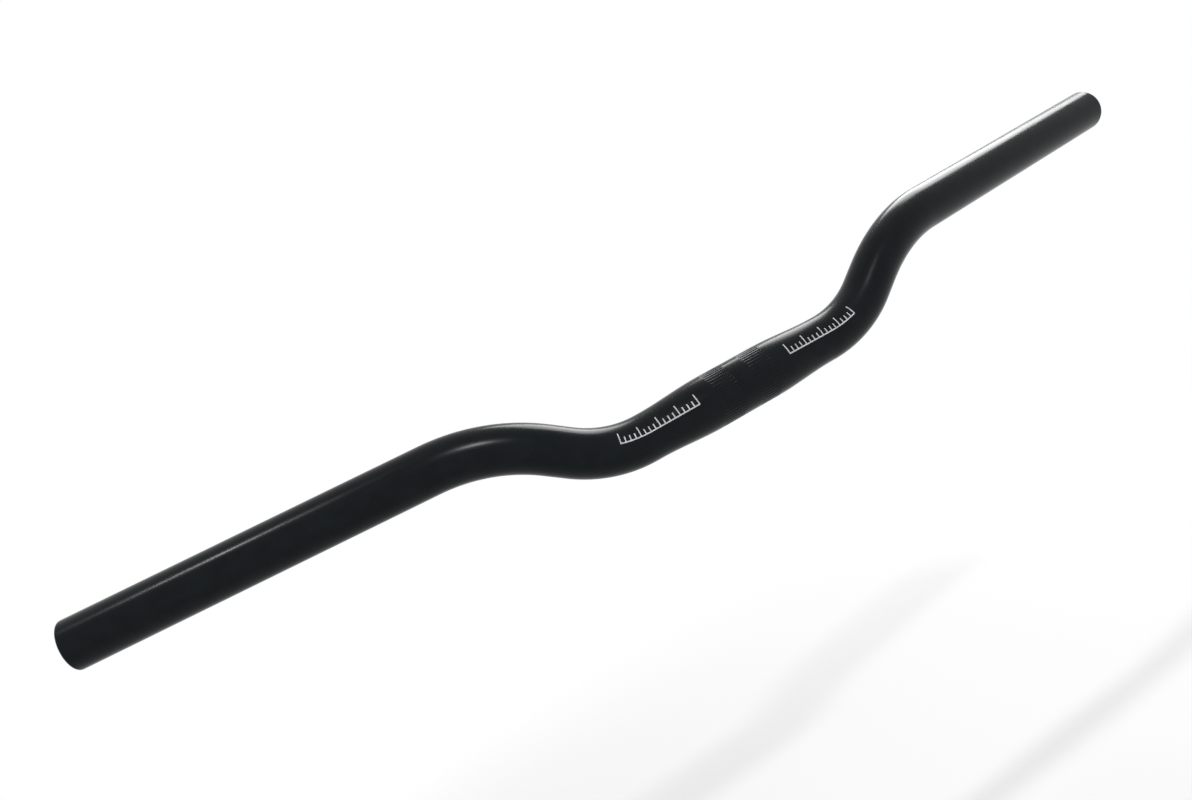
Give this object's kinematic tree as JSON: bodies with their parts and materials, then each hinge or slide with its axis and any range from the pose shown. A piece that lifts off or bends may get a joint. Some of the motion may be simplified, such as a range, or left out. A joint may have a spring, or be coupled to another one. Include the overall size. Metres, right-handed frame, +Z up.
{
  "type": "riser handlebar",
  "caption": "Bent steel riser bar for a bicycle, with a thicker knurled clamp section and swept-back straight grips.",
  "frame": {"origin": "middle of the clamp section, on the tube's axis", "axes": "+X along the clamp section to the rider's left, +Y back towards the rider, +Z up, as the bar is ridden"},
  "size_m": [0.5948, 0.0654, 0.0647],
  "materials": {
    "black_paint": "satin"
  },
  "bodies": {
    "root": {"handlebar": "black_paint"}
  },
  "joints": []
}
